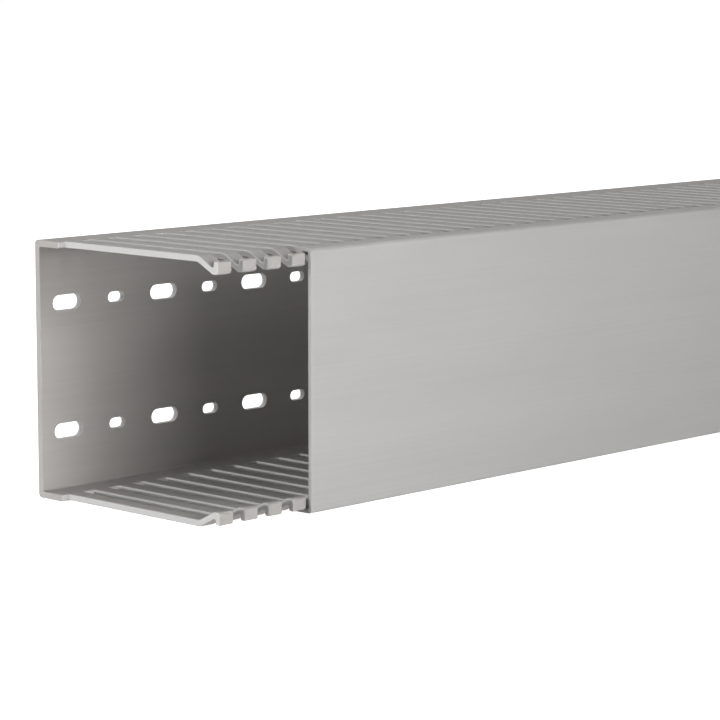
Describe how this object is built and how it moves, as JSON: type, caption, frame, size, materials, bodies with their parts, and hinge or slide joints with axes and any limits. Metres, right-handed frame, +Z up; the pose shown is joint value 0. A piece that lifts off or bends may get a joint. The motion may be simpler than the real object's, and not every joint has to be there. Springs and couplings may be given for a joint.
{
  "type": "slotted wire duct",
  "caption": "Slotted cable trunking: a perforated base with two finger walls and a flat clip-on lid that slides along it, for wires in panels.",
  "frame": {"origin": "centre of the overall footprint, on the floor under the side wall that the duct lies on", "axes": "+X along the duct, away from the end where the lid is slid back; -Y the way the lid faces, +Y the perforated base; +Z up, out of the upper finger wall"},
  "size_m": [1.049, 0.1, 0.1],
  "materials": {
    "grey_pvc": "smooth extruded, slightly satin",
    "grey_pvc_lid": "smooth extruded, slightly satin"
  },
  "bodies": {
    "duct": {"slotted_base": "grey_pvc"},
    "lid": {"snap_lid": "grey_pvc_lid"}
  },
  "joints": [
    {"name": "lid_slide", "type": "slide", "parent": "duct", "child": "lid", "axis": [1, 0, 0], "range_m": [-0.049, 0.957]}
  ]
}
